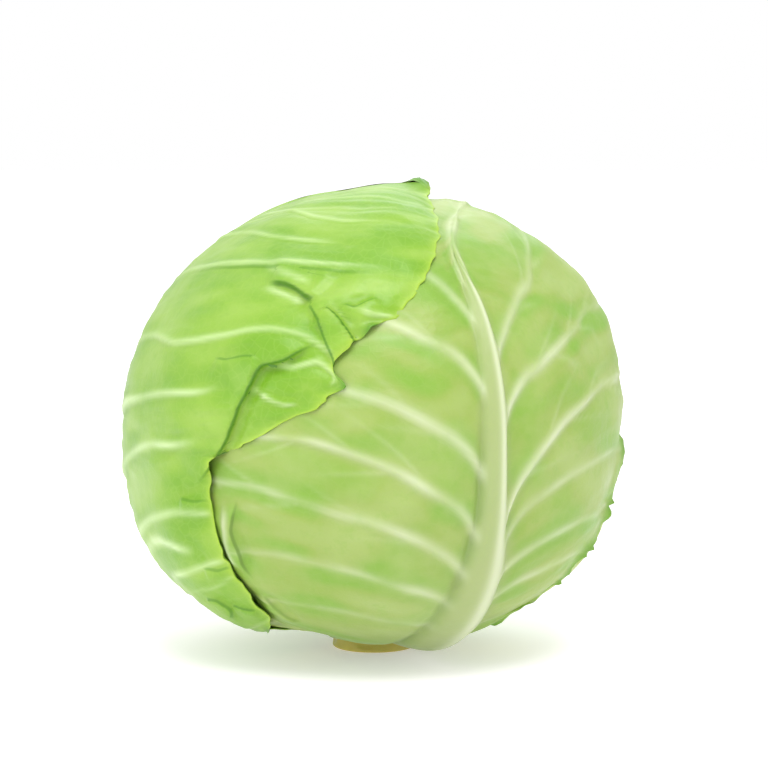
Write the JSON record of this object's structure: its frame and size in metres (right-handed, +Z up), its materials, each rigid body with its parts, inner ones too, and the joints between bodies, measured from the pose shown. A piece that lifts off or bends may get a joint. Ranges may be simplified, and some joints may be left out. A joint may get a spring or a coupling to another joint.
{
  "type": "cabbage head",
  "caption": "Round white cabbage head as picked: a dense ball of closed leaves in ribbed wrapper leaves, resting on its cut stump.",
  "frame": {"origin": "centre of the stump's cut face, on the surface that the head rests on", "axes": "+Z up through the head, -Y towards the side where the front leaf's midrib shows"},
  "size_m": [0.1799, 0.1815, 0.168],
  "materials": {
    "cut_stump": "moist cut stalk, pale cream with a green rind",
    "pale_inner_leaf": "waxy pale green leaf",
    "inner_wrapper": "waxy green leaf, yellowish near the stalk",
    "back_leaf": "waxy green leaf with pale raised ribs",
    "front_leaf": "waxy pale green leaf with broad whitish ribs",
    "left_leaf": "waxy yellow-green leaf, wrinkled and folded"
  },
  "bodies": {
    "root": {"stem": "cut_stump", "head": "pale_inner_leaf", "inner_leaf_right": "inner_wrapper", "inner_leaf_left": "inner_wrapper", "outer_leaf_back": "back_leaf", "outer_leaf_front": "front_leaf", "outer_leaf_left": "left_leaf"}
  },
  "joints": []
}
